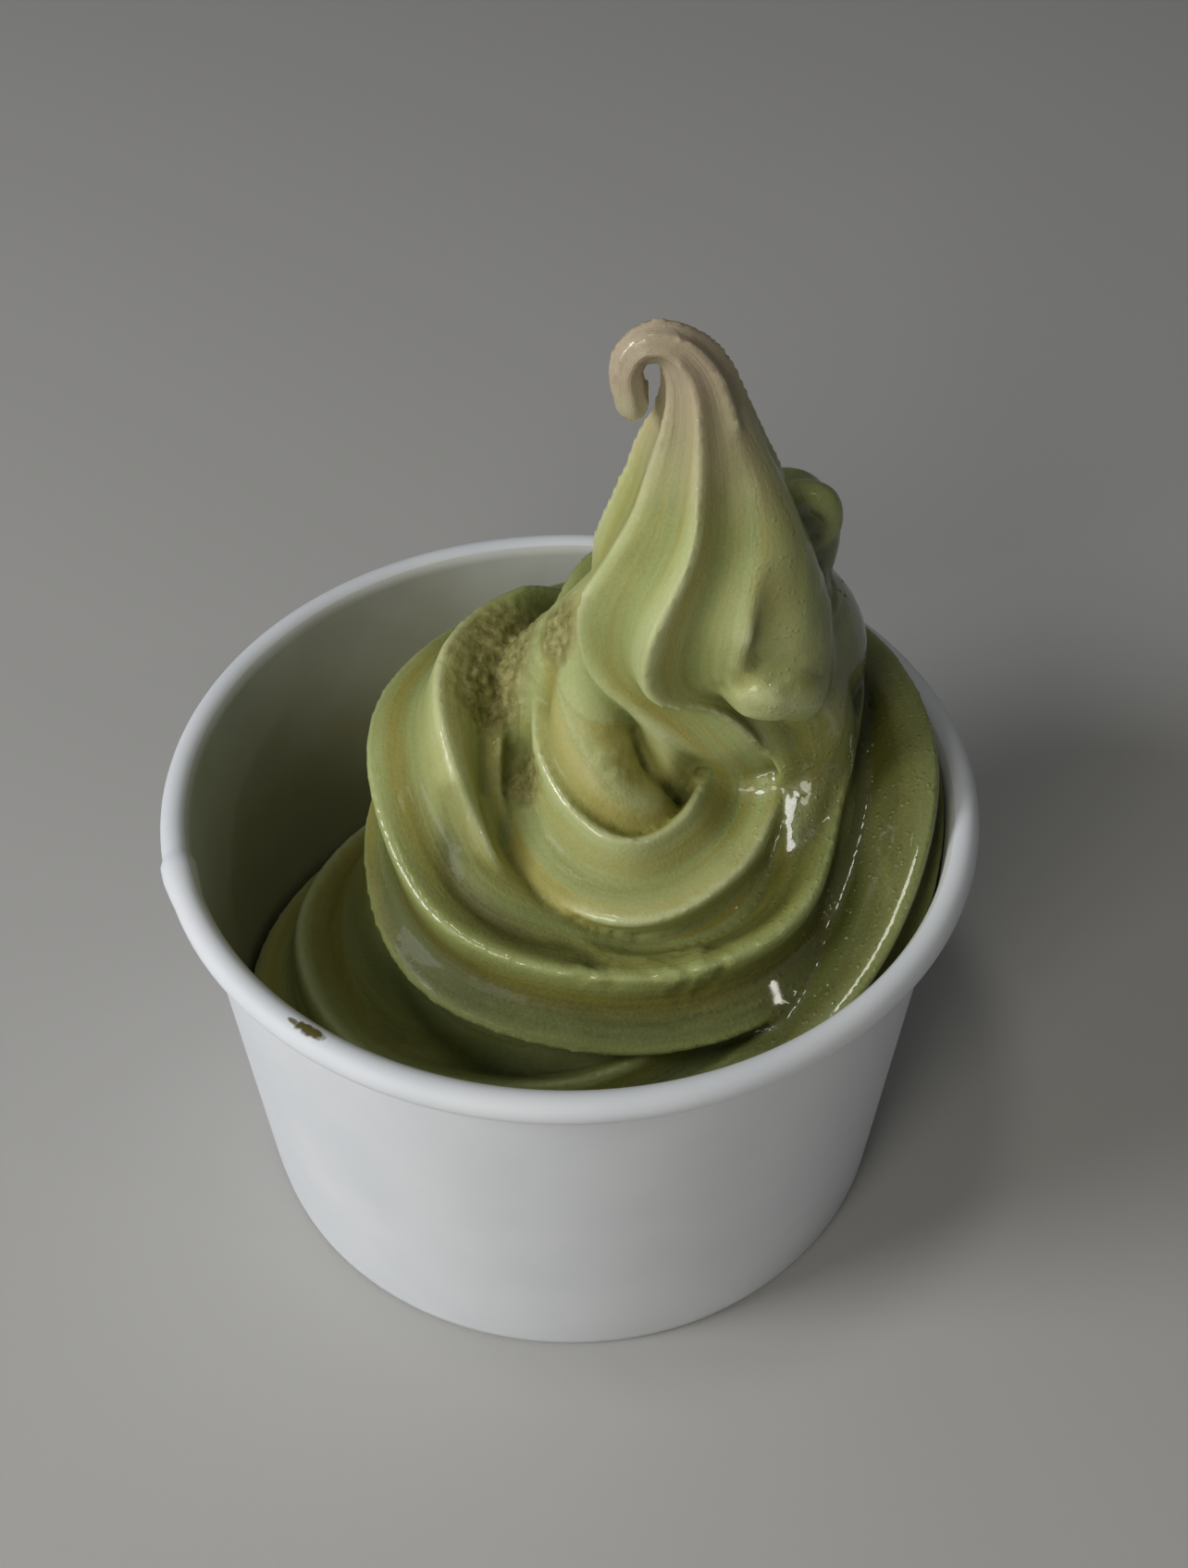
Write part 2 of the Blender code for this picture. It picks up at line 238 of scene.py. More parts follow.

# %% [markdown]
# Coated board is nearly white with a trace of blue, and its surface has a very fine felt from the
# paper under the coating. The fibres' felt is about a third of a millimetre across, which is drawn
# here at half a millimetre so that it shows. A smear of melted cream sits on the rim at the front left
# and stays there, and a thin film of melt with painted shade darkens the inside of the wall, more towards its
# foot.

# %% The paper's finish
FIBRE_MM = 0.5
CLOUD_MM = 14
PAPER_TONES = ((0.35, "#dde1e4"), (0.7, "#e4e7e9"))
# Melt stain with painted shade: the inside of the wall, more below the second height than above the first
FILM_AND_SHADE_COLOUR = "#a9a97f"
FILM_AND_SHADE_HEIGHTS = (50, 25)
FILM_AND_SHADE_SHARES = (0.3, 0.8)
FILM_AND_SHADE_EDGE_MM = 9
FILM_AND_SHADE_EDGE_RISE = 20
SMEAR_COLOUR = "#5b5426"
SMEAR_WAVES_A_MM = 0.9
SMEAR_FRAY = 2.4
SMEAR_SHARP = 0.7
SMEARS = (
    # middle in millimetres, half length, half width, strength
    ((-27.6, -37.0, 57.3), 2.0, 0.75, 1.0),
    ((-29.5, -35.6, 57.4), 0.7, 0.4, 0.9),
)


def smear_mask(tree, place):
    """Where melted cream stained the paper, from 0 to 1."""
    wobble = add_node(tree, "ShaderNodeTexNoise", Vector=place, Scale=SMEAR_WAVES_A_MM / MM, Detail=3.0)
    total = None
    for middle, half_length, half_width, strength in SMEARS:
        along = mathutils.Vector((-middle[1], middle[0], 0)).normalized()
        away = add_node(
            tree, "ShaderNodeVectorMath", {"operation": "SUBTRACT"},
            _0=place, _1=[part * MM for part in middle],
        )
        distance = add_node(tree, "ShaderNodeVectorMath", {"operation": "LENGTH"}, _0=away)
        lengthwise = add_node(tree, "ShaderNodeVectorMath", {"operation": "DOT_PRODUCT"}, _0=away, _1=along)
        square = add_node(
            tree, "ShaderNodeMath", {"operation": "POWER"},
            _0=distance.outputs["Value"], _1=2.0,
        )
        length_square = add_node(
            tree, "ShaderNodeMath", {"operation": "POWER"},
            _0=lengthwise.outputs["Value"], _1=2.0,
        )
        across = add_node(tree, "ShaderNodeMath", {"operation": "SUBTRACT"}, _0=square, _1=length_square)
        wide = add_node(tree, "ShaderNodeMath", {"operation": "DIVIDE"}, _0=across, _1=(half_width * MM) ** 2)
        long = add_node(
            tree, "ShaderNodeMath", {"operation": "DIVIDE"},
            _0=length_square, _1=(half_length * MM) ** 2,
        )
        both = add_node(tree, "ShaderNodeMath", {"operation": "ADD"}, _0=wide, _1=long)
        rough = add_node(
            tree, "ShaderNodeMath", {"operation": "MULTIPLY_ADD"},
            _0=wobble, _1=SMEAR_FRAY, _2=both,
        )
        inner = SMEAR_FRAY - SMEAR_SHARP
        mask = add_node(tree, "ShaderNodeMapRange", _0=rough, _1=SMEAR_FRAY, _2=inner, _4=strength)
        if total:
            mask = add_node(tree, "ShaderNodeMath", {"operation": "MAXIMUM"}, _0=mask, _1=total)
        total = mask
    return total


def film_and_shade_mask(tree, place):
    """The thin film of melted cream on the inner side of the wall, with painted shade, from 0 to 1."""
    parts = add_node(tree, "ShaderNodeSeparateXYZ", _0=place)
    level = add_node(tree, "ShaderNodeVectorMath", {"operation": "MULTIPLY"}, _0=place, _1=(1.0, 1.0, 0.0))
    reach = add_node(tree, "ShaderNodeVectorMath", {"operation": "LENGTH"}, _0=level)
    slope = (wall_radius(CUP_HEIGHT) - BASE_RADIUS) / CUP_HEIGHT
    wall = add_node(
        tree, "ShaderNodeMath", {"operation": "MULTIPLY_ADD"},
        _0=parts.outputs[2], _1=slope, _2=(BASE_RADIUS - 0.4 * PAPER) * MM,
    )
    inside = add_node(tree, "ShaderNodeMath", {"operation": "LESS_THAN"}, _0=reach.outputs["Value"], _1=wall)
    edge = add_node(tree, "ShaderNodeTexNoise", Vector=place, Scale=1 / (FILM_AND_SHADE_EDGE_MM * MM), Detail=3.0)
    height = add_node(
        tree, "ShaderNodeMath", {"operation": "MULTIPLY_ADD"},
        _0=edge, _1=-FILM_AND_SHADE_EDGE_RISE * MM, _2=parts.outputs[2],
    )
    high, low = [limit * MM for limit in FILM_AND_SHADE_HEIGHTS]
    less, more = FILM_AND_SHADE_SHARES
    amount = add_node(tree, "ShaderNodeMapRange", _0=height, _1=high, _2=low, _3=less, _4=more)
    return add_node(tree, "ShaderNodeMath", {"operation": "MULTIPLY"}, _0=inside, _1=amount)


def paper_finish():
    """Coated white board, a film of melt with painted shade inside it and the smears on its rim."""
    made, tree, shader = new_material("coated_white_board")
    place = add_node(tree, "ShaderNodeTexCoord").outputs["Object"]
    felt = add_node(
        tree, "ShaderNodeTexNoise",
        Vector=place, Scale=1 / (FIBRE_MM * MM), Detail=4.0, Roughness=0.6,
    )
    cloud = add_node(tree, "ShaderNodeTexNoise", Vector=place, Scale=1 / (CLOUD_MM * MM), Detail=2.0)
    tone = add_node(tree, "ShaderNodeValToRGB", Fac=cloud)
    set_stops(tone.color_ramp, PAPER_TONES)
    # The inside of the wall: melt stain together with painted shade, more towards its foot
    filmed_and_shaded = add_node(
        tree, "ShaderNodeMix", {"data_type": "RGBA"},
        Factor=film_and_shade_mask(tree, place), _6=tone, _7=linear(FILM_AND_SHADE_COLOUR),
    )
    stained = add_node(
        tree, "ShaderNodeMix", {"data_type": "RGBA"},
        Factor=smear_mask(tree, place), _6=filmed_and_shaded.outputs[2], _7=linear(SMEAR_COLOUR),
    )
    tree.links.new(stained.outputs[2], shader.inputs["Base Color"])
    shader.inputs["Roughness"].default_value = 0.55
    shader.inputs["Specular IOR Level"].default_value = 0.35
    relief = add_node(tree, "ShaderNodeBump", Height=felt, Strength=0.12, Distance=0.05 * MM)
    tree.links.new(relief.outputs[0], shader.inputs["Normal"])
    return made


paper = paper_finish()
cup_wall.data.materials.append(paper)
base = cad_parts["cup_base"]
for slot in base.material_slots:
    slot.material = paper
print("paper on", cup_wall.name, "and", base.name)

# %% [markdown]
# The cream is laid as it comes from the machine. Each station gives the rope's middle, half its
# width and height, and the angle of one leading ridge. Two turns lie in the cup, a third is laid
# smaller on top, and then the rope is pulled straight up into the cone, thinning out to a hook.
# A curve with a star-shaped bevel could not change its width and height separately, so the
# sections are computed ring by ring.

# %% The stations of the rope, in millimetres
RIDGES = 7
VALLEY_DEPTH = 0.28
RIDGE_ROUNDING = 0.05
STEPS_A_STATION = 24
POINTS_A_RIDGE = 20
STRAND_SIDES = 64
# Stations after the cone's start between which the section leans over, and turns with the hook
CONE_LEANS = (0.3, 3.3)
HOOK_TURNS = (4.5, 5.5)
# How many ridges the settled side takes to start, where it ends, and how many it takes to end
SETTLING_STARTS = 0.5
SETTLED_UNTIL = 5.8
SETTLING_ENDS = 0.8
# The radius that the nozzle's lines are laid out on, and a direction that no strand runs along
LAY_RADIUS = 11.0
STRAND_SIDEWAYS = (0.35, -0.9, 0.2)
# Each station of the rope in millimetres: x, y and z of its middle, half its width and half its
# height, the angle in degrees of its leading ridge above the rope's outward side, the share of its
# size that its inner side keeps under the next turn, and how many ridges after the leading one that
# side starts. The stations follow one another an eighth of a turn apart, anticlockwise seen from
# above, from the cup's floor.
BOTTOM_COIL = (
    (0, 27, 16, 12, 11, 0, 1, 0.1),
    (-20, 20, 18, 12, 12, 5, 1, 0.1),
    (-28, 0, 21, 13, 13, 10, 1, 0.1),
    (-20, -20, 25, 13, 13, 15, 0.95, 0.1),
    (2, -27, 31, 13, 13, 20, 0.8, 0.1),
    (23, -19, 42, 14, 12, 34, 0.7, 0.1),
    (33, -1, 53, 14.5, 11, 48, 0.65, 0.1),
    (26, 16, 57, 14, 11, 40, 0.65, 0.1),
    (7, 20, 59, 12, 12, 22, 0.7, 0.4),
)
MIDDLE_COIL = (
    (-7.5, 11, 60, 12.5, 12.5, 14, 0.6, 1.3),
    (-12.5, -2, 57.5, 12.5, 12, 29, 0.55, 1.2),
    (-9, -16, 48.5, 11.5, 10.5, 50, 0.55, 0.9),
    (6, -20, 45.5, 11.5, 10.5, 52, 0.55, 0.3),
    (19, -16, 47.5, 11.5, 10.5, 50, 0.5, 0.1),
    (23.5, -4, 52, 12, 10.5, 48, 0.5, 0.1),
    (24, 10, 63, 13, 13, 42, 0.6, 0.1),
    (10, 15, 68, 12, 12, 40, 0.8, 0.1),
)
TOP_COIL = (
    (3.5, 2, 61, 11, 11, 45, 1, 0.1),
    (3, -6, 55, 11, 11, 62, 1, 0.1),
    (7, -10.5, 51, 11, 10.5, 76, 1, 0.1),
    (13.5, -8.5, 50.5, 11, 10.5, 92, 1, 0.1),
    (18.5, -2.5, 50.5, 11, 11, 108, 1, 0.1),
)
# From here the rope is pulled straight up, thinning into the cone and the hook
CONE = (
    (17.5, -3, 58, 11, 11, 119, 1, 0.1),
    (14.5, 1.5, 69, 11.5, 11.5, 139, 1, 0.1),
    (12.8, 1.5, 79, 12.3, 12, 162, 1, 0.1),
    (13, 0.5, 88, 12.3, 12, 163, 1, 0.1),
    (14, 0, 98, 9.5, 9.5, 152, 1, 0.1),
    (13.8, -0.5, 105, 7.4, 7.4, 147, 1, 0.1),
    (13.6, -1, 110.5, 5.2, 5.2, 147, 1, 0.1),
)
HOOK = (
    (12.6, -1, 115.5, 3.8, 3.8, 145, 1, 0.1),
    (10.4, -1.2, 118.7, 2.7, 2.7, 145, 1, 0.1),
    (7.6, -1.5, 119, 2.2, 2.2, 145, 1, 0.1),
    (6, -1.8, 116.5, 2, 2, 145, 1, 0.1),
    (6.4, -2, 112.8, 2, 2, 145, 1, 0.1),
    (6.6, -2.1, 111.1, 1.6, 1.6, 145, 1, 0.1),
    (6.7, -2.1, 110.2, 0.5, 0.5, 145, 1, 0.1),
)

# Smaller folds, each a round strand: x, y and z of its middle and its radius
INNER_FOLD = (
    (6.2, 4, 81, 4.5),
    (3.8, 2.5, 74, 4.8),
    (2.5, -1, 67, 4.8),
    (3.8, -5, 61.8, 4.8),
    (7.2, -6.4, 58.6, 4.5),
    (10.2, -5.8, 56, 3.3),
)
TORN_SKIRT = (
    (-4, 9, 60, 8),
    (0, 9, 66, 7.5),
    (4, 7, 73, 7),
    (8, 5, 82, 5.5),
)
SHOULDER = (
    (18.5, 2, 93, 4),
    (21, 2, 86, 6.5),
    (23.5, 4, 78.5, 8.5),
    (25.5, 8, 71, 9),
    (26, 12, 64, 8),
)
EAR = (
    (19, 4, 93.5, 4),
    (23.8, 4.5, 94, 4.2),
    (25.8, 5, 90, 3.8),
    (23.5, 5, 83, 5),
)
EAR_LIP = (
    (19, 1.5, 95, 1.5),
    (22.8, 2, 97.3, 1.7),
    (26.8, 2.5, 96.5, 1.8),
    (27.8, 2.5, 93, 1.5),
    (25.3, 1.5, 91, 1.2),
)
SIDE_FOLD = (
    (21, 1, 85, 4),
    (24.5, 0, 77, 5),
    (27.5, 1, 68, 5),
    (28.5, -0.5, 60, 4.5),
    (26.5, -9, 51, 4),
)
CONE_FOLD = (
    (15.5, -1, 111, 2.6),
    (17, -2, 105, 3.6),
    (19.3, -2.5, 98, 4.6),
    (21.3, -2.5, 91, 5.2),
    (23, -2.5, 83, 5.6),
    (24.5, -1.5, 75, 5),
)
FRONT_FOLD = (
    (-12.5, -5, 58, 3.8),
    (-11.5, -11.5, 56, 4),
    (-8, -16, 53.5, 4),
    (-2.5, -19.5, 51, 3.8),
    (4, -20, 48, 4),
    (12, -18, 46.5, 5),
    (20, -12, 47.5, 5),
)
STRANDS = (INNER_FOLD, TORN_SKIRT, SHOULDER, EAR, EAR_LIP, SIDE_FOLD, CONE_FOLD, FRONT_FOLD)

# The soft serve fills the cup below its coils: radius and height of the fill's outline
FILL = ((39.0, 6.5), (41.0, 20), (34.0, 28), (24.0, 46), (8.0, 54))
FILL_MIDDLE = (4.0, 0.0)

# Where one fold has melted into the next: x, y and z of the middle, and how far it reaches
MELTED = (
    (26, -1, 76, 7),
    (28, 3, 64, 5),
    (21, 1, 91, 4),
    (8.5, -4, 105, 4.5),
    (6.5, -3.5, 99, 5.5),
    (4.5, -3.5, 93, 5),
    (17, -5, 107, 4),
    (19.5, -6, 100, 5),
    (20.8, -6, 92, 5.5),
    (21.5, -5.5, 84, 5.5),
)
# More of them in the finer skin alone, above the lump that follows
SKIN_MELTED = ((23, -6, 81.5, 4), (18.5, -7.5, 83.5, 4.5), (20.5, -8, 83.5, 4.5))
# How wide the melting spreads, in square millimetres
MELTED_AREA = 15
# A lump of cream that hangs under the cone's right-hand fold, and is finer than the solid's faces
LUMP = (
    (18, -5.5, 80.5, 3),
    (20.5, -6.3, 79, 4.2),
    (23.5, -5.5, 77.5, 4),
    (26, -4, 75, 3.5),
)

# %% [markdown]
# The stations are joined by a smooth curve that passes through each of them. Along it the section
# needs two directions of its own, outward and upward. In the coil the section stands upright, and in
# the pulled cone its top leans over to face the front, so the ridges run up the cone's face.

# %% The rope's path and its two directions
def smooth_path(stations, steps):
    """A smooth curve through the stations, with a few steps from each to the next."""
    knots = np.array(stations, float)
    slopes = np.gradient(knots, axis=0)
    place = np.linspace(0, len(knots) - 1, (len(knots) - 1) * steps + 1)
    first = np.minimum(place.astype(int), len(knots) - 2)
    past = (place - first)[:, None]
    return (
        (2 * past**3 - 3 * past**2 + 1) * knots[first]
        + (past**3 - 2 * past**2 + past) * slopes[first]
        + (3 * past**2 - 2 * past**3) * knots[first + 1]
        + (past**3 - past**2) * slopes[first + 1]
    )


def unit(vectors):
    return vectors / np.linalg.norm(vectors, axis=-1, keepdims=True)


def softened(share):
    """A share from 0 to 1 that starts and ends gently."""
    return share * share * (3 - 2 * share)


def eased(place, start, end):
    return softened(np.clip((place - start) / (end - start), 0, 1)[:, None])


def rope_frames(centres, cone_start):
    """Along the rope, the outward and the upward direction of its section.

    In the coil each section stands upright. From the cone's start its outward side points to the
    right and its top leans over to face the front, and in the hook it turns with the hook.
    """
    place = np.arange(len(centres)) / STEPS_A_STATION - cone_start
    ahead = unit(np.gradient(centres, axis=0))
    level = unit(np.cross(ahead, [0.0, 0.0, 1.0]))
    in_cone = eased(place, -0.5, 0.5)
    outward = unit(level * (1 - in_cone) + np.array([1.0, 0.0, 0.0]) * in_cone)
    lean = eased(place, *CONE_LEANS) * math.pi / 2
    upward = np.cos(lean) * [0.0, 0.0, 1.0] + np.sin(lean) * [0.0, -1.0, 0.0]
    in_hook = eased(place, *HOOK_TURNS)
    outward = unit(outward * (1 - in_hook) + np.cross(ahead, [0.0, -1.0, 0.0]) * in_hook)
    return outward, upward

# %% [markdown]
# The nozzle's star gives the section seven ridges with sharp valleys between them. Where one turn
# rests on another the soft rope is pressed flat, so that side of the section is drawn in. The rings
# of points are then joined into a closed tube, and each point keeps its place along and round it.

# %% The rope's star section and its surface
def star_radius(angle):
    """The section's radius as a share of its size: 1 on a ridge, less in the valleys."""
    dip = np.sqrt(np.sin(RIDGES * angle / 2) ** 2 + RIDGE_ROUNDING**2) - RIDGE_ROUNDING
    return 1 - VALLEY_DEPTH * dip


def rope_mesh(stations, cone_start):
    """The closed surface of the rope as points and faces, and each point's place on the rope."""
    path = smooth_path(stations, STEPS_A_STATION)
    centres = path[:, :3]
    outward, upward = rope_frames(centres, cone_start)
    around = RIDGES * POINTS_A_RIDGE
    angle = np.arange(around) * 2 * math.pi / around
    radius = star_radius(angle) * (1 - (1 - path[:, 6:7]) * settled_side(angle, path[:, 7]))
    turned_by = np.radians(path[:, 5])[:, None] + angle[None, :]
    across = (np.cos(turned_by) * radius * path[:, 3:4])[..., None] * outward[:, None]
    rise = (np.sin(turned_by) * radius * path[:, 4:5])[..., None] * upward[:, None]
    points, faces = tube(centres[:, None] + across + rise)
    along = np.concatenate([[0], np.cumsum(np.linalg.norm(np.diff(centres, axis=0), axis=1))])
    lay = np.empty((len(centres), around, 3))
    lay[:, :, 0] = np.cos(angle) * LAY_RADIUS
    lay[:, :, 1] = np.sin(angle) * LAY_RADIUS
    lay[:, :, 2] = along[:, None]
    return points, faces, lay.reshape(-1, 3)


def settled_side(angle, starts):
    """How much of its section's settling each point takes: all of it from the start, a little on."""
    ridge = angle / (2 * math.pi / RIDGES)
    after = np.clip((ridge[None, :] - starts[:, None]) / SETTLING_STARTS, 0, 1)
    before = np.clip((SETTLED_UNTIL - ridge[None, :]) / SETTLING_ENDS, 0, 1)
    return softened(np.minimum(after, before))

# %% [markdown]
# Folds that were torn off or pushed up from the rope are round strands, because they have lost the
# star. What lies under the coils can't be seen, and is one plain mass.

# %% Strands, and the mass under the coils
def strand_mesh(stations):
    """The closed surface of a round strand through its stations."""
    path = smooth_path(stations, STEPS_A_STATION)
    centres = path[:, :3]
    ahead = unit(np.gradient(centres, axis=0))
    beside = unit(np.cross(ahead, STRAND_SIDEWAYS))
    above = np.cross(beside, ahead)
    angle = np.arange(STRAND_SIDES) * 2 * math.pi / STRAND_SIDES
    ring = np.cos(angle)[None, :, None] * beside[:, None] + np.sin(angle)[None, :, None] * above[:, None]
    points = centres[:, None] + ring * path[:, 3][:, None, None]
    return tube(points)


def tube(rings):
    """Points and faces of a tube through the rings, closed at both ends."""
    rows, around = rings.shape[:2]
    faces = []
    for row in range(rows - 1):
        for side in range(around):
            after = (side + 1) % around
            here = row * around
            above = here + around
            faces.append((here + side, above + side, above + after, here + after))
    faces.append(tuple(range(around)))
    faces.append(tuple(reversed(range((rows - 1) * around, rows * around))))
    return rings.reshape(-1, 3), faces


def fill_mesh():
    """A plain round mass under the coils, so that nothing below them is hollow."""
    angle = np.arange(STRAND_SIDES) * 2 * math.pi / STRAND_SIDES
    rings = []
    for share, (radius, z) in enumerate(FILL):
        off = share / (len(FILL) - 1)
        x = np.cos(-angle) * radius + FILL_MIDDLE[0] * off
        y = np.sin(-angle) * radius + FILL_MIDDLE[1] * off
        rings.append(np.stack([x, y, np.full(len(angle), float(z))], axis=1))
    return tube(np.array(rings))

# %% [markdown]
# The cream stops a third of a millimetre short of the paper, and its tip is no higher than the
# solid's. Both are small moves of the points, so the relief on them stays.

# %% Keeping the cream in its cup
HOOK_FROM = 110
TIP_MARGIN = 0.02


def inside_cup(points):
    """The points, with any that reach into the paper brought back to a small gap from it."""
    x, y, z = points.T
    height = np.maximum(z, FLOOR_HEIGHT + GAP)
    reach = np.hypot(x, y)
    room = inner_radius(height) - GAP
    held = height < CUP_HEIGHT + RIM_BEAD
    share = np.where(held & (reach > room), room / np.maximum(reach, 1), 1)
    return np.stack([x * share, y * share, height], axis=1)


def under_tip(points):
    """The points with the hook brought down smoothly to the solid's own height."""
    over = max(points[:, 2].max() - cad_bounds[1][2] / MM + TIP_MARGIN, 0)
    share = np.clip((points[:, 2] - HOOK_FROM) / (points[:, 2].max() - HOOK_FROM), 0, 1)
    return points - over * share[:, None] * [0, 0, 1]

# %% [markdown]
# Soft serve closes over its own folds within a minute. So some creases are smoothed away, at the
# places listed with the stations, and bubbles that the joining leaves inside are thrown away.

# %% Joining and melting
def joined_surfaces(surfaces):
    points = []
    faces = []
    for some_points, some_faces in surfaces:
        start = sum(len(group) for group in points)
        points.append(some_points)
        faces.extend(tuple(start + corner for corner in face) for face in some_faces)
    return np.concatenate(points), faces


def keep_largest_body(mesh):
    """Removes scraps and inner shells, keeping the body with the most faces."""
    work = bmesh.new()
    work.from_mesh(mesh)
    unseen = set(work.verts)
    bodies = []
    while unseen:
        body = {unseen.pop()}
        edge_of_body = list(body)
        while edge_of_body:
            vertex = edge_of_body.pop()
            for edge in vertex.link_edges:
                other = edge.other_vert(vertex)
                if other not in body:
                    body.add(other)
                    edge_of_body.append(other)
        unseen -= body
        bodies.append(body)
    bodies.sort(key=len)
    scraps = [vertex for body in bodies[:-1] for vertex in body]
    bmesh.ops.delete(work, geom=scraps, context="VERTS")
    work.to_mesh(mesh)
    work.free()


def faded(distance, reach, steepness):
    """From 1 round a middle to 0 at its reach."""
    return np.clip(steepness - steepness * distance / reach, 0, 1)


def melt_places(item, voxel, places):
    """Smooths the skin where its folds have melted together, by the same amount at any voxel size."""
    points = np.array([vertex.co for vertex in item.data.vertices]) / MM
    amount = np.zeros(len(points))
    for x, y, z, reach in places:
        distance = np.linalg.norm(points - [x, y, z], axis=1)
        amount = np.maximum(amount, faded(distance, reach, 1.5))
    group = item.vertex_groups.new(name="melted")
    for row in np.flatnonzero(amount):
        group.add([int(row)], float(amount[row]), "REPLACE")
    smooth = item.modifiers.new("Melted", "SMOOTH")
    smooth.factor = 0.5
    smooth.iterations = round(MELTED_AREA / voxel**2)
    smooth.vertex_group = group.name
    applied(item, smooth)
    item.vertex_groups.clear()

# %% [markdown]
# The rope, the smaller folds and a plain mass under the coils are separate closed surfaces that run
# into each other. A voxel remesh melts them into one skin, as the soft cream does, and a light
# smoothing takes off the voxels' steps. A Boolean union would keep every crossing as a hard edge.

# %% One skin of cream
SKIN_VOXEL = 0.5
SKIN_SMOOTHINGS = 2
SKIN_TRIANGLES = 190000


def applied(item, modifier):
    bpy.context.view_layer.objects.active = item
    bpy.ops.object.modifier_apply(modifier=modifier.name)


def cream_skin(surfaces):
    points, faces = joined_surfaces(surfaces)
    cream = new_piece("soft_serve_coil", points, faces)
    remesh = cream.modifiers.new("One skin", "REMESH")
    remesh.mode = "VOXEL"
    remesh.voxel_size = SKIN_VOXEL * MM
    applied(cream, remesh)
    keep_largest_body(cream.data)
    melt_places(cream, SKIN_VOXEL, MELTED + SKIN_MELTED)
    smooth = cream.modifiers.new("Softened", "SMOOTH")
    smooth.factor = 0.5
    smooth.iterations = SKIN_SMOOTHINGS
    applied(cream, smooth)
    return cream


stations = BOTTOM_COIL + MIDDLE_COIL + TOP_COIL + CONE + HOOK
cone_start = len(BOTTOM_COIL + MIDDLE_COIL + TOP_COIL) - 1
rope_points, rope_faces, rope_lay = rope_mesh(stations, cone_start)
surfaces = [(rope_points, rope_faces), fill_mesh()]
surfaces += [strand_mesh(strand) for strand in (*STRANDS, LUMP)]
cream = cream_skin(surfaces)
print("cream skin:", len(cream.data.vertices), "points")

# %% [markdown]
# The nozzle leaves fine lines along the whole rope. To draw them along the rope, each point of the
# skin looks up the nearest point of the rope and takes over its place on it: how far along, and
# where around. The lines are then a noise that is stretched along the rope, partly as true relief.

# %% Where each point lies on the rope
NEIGHBOURS = 4
NEIGHBOUR_BLUR = 0.05


def nearest_lay(points):
    """For each point of the skin, the rope's place there, blended from the nearest rope points."""
    tree = KDTree(len(rope_points))
    for index, point in enumerate(rope_points):
        tree.insert(point, index)
    tree.balance()
    found = np.zeros((len(points), 3))
    for row, point in enumerate(points):
        near = tree.find_n(point, NEIGHBOURS)
        weight = np.array([1 / (distance + NEIGHBOUR_BLUR) ** 2 for _, _, distance in near])
        places = rope_lay[[index for _, index, _ in near]]
        found[row] = (places * weight[:, None]).sum(axis=0) / weight.sum()
    return found


def mesh_arrays(mesh):
    points = np.empty(len(mesh.vertices) * 3)
    mesh.vertices.foreach_get("co", points)
    normals = np.empty(len(mesh.vertices) * 3)
    mesh.vertices.foreach_get("normal", normals)
    return points.reshape(-1, 3) / MM, normals.reshape(-1, 3)


def store(mesh, name, kind, values):
    layer = mesh.attributes.new(name, kind, "POINT")
    key = "vector" if kind == "FLOAT_VECTOR" else "value"
    layer.data.foreach_set(key, np.asarray(values, np.float32).ravel())


points, normals = mesh_arrays(cream.data)
lay = nearest_lay(points)
print("lay of the rope found for", len(lay), "points")

# %% [markdown]
# The lines are a tenth of a millimetre deep, as a nozzle with a slightly rough edge leaves them. Where
# the rope was torn off or pushed together its skin is crumbled, which is a rougher noise round each
# such place. Both move the mesh's own points, because a bump map alone would be lost in a copy of it.

# %% Fine relief on the skin
LINE_DEPTH = 0.12
# Width and length of the broad and the narrow lines, in millimetres
BROAD_LINE = (1.6, 30)
NARROW_LINE = (0.8, 18)
# Torn and crumpled places, in millimetres: x, y and z of the middle, reach, depth, size of the crumbs
CRUMPLED = (
    (-7, 10, 69, 9, 0.4, 1.0),
    (-9.5, 4, 67, 6, 0.4, 1.0),
    (-5, -3, 61.5, 5, 0.35, 1.0),
    (-1.5, 4.5, 77, 6, 0.45, 1.0),
    (21, -5, 80, 7, 0.5, 2.4),
    (26, -1, 86, 6, 0.4, 2.2),
    (6, -6, 66.5, 4.5, 0.3, 1.8),
    (13, -26, 54, 6, 0.5, 2.2),
    (3, -25, 54, 4, 0.35, 1.8),
    (9.5, -5.5, 58, 4, 0.3, 1.6),
)
# The first of them are torn, which also changes their colour
TORN_PLACES = 4


def line_noise(place, width, length):
    """Noise stretched along the rope, from -1 to 1."""
    at = mathutils.Vector((place[0] / width, place[1] / width, place[2] / length))
    return noise.noise(at)


def relief(points, lay):
    """How far the lines and the crumpled places raise each point, in millimetres, and how torn it is."""
    raised = np.zeros(len(points))
    torn = np.zeros(len(points))
    for row in range(len(points)):
        broad = line_noise(lay[row], *BROAD_LINE)
        narrow = line_noise(lay[row] + 7, *NARROW_LINE)
        raised[row] = LINE_DEPTH * (broad + 0.5 * narrow)
    for number, (x, y, z, reach, depth, crumb) in enumerate(CRUMPLED):
        near = np.linalg.norm(points - [x, y, z], axis=1) / reach
        if number < TORN_PLACES:
            torn = np.maximum(torn, faded(near, 1, 1.6))
        for row in np.flatnonzero(near < 1):
            at = mathutils.Vector(points[row] / crumb)
            raised[row] += depth * (1 - near[row] ** 2) * noise.turbulence(at, 3, False)
    return raised, torn


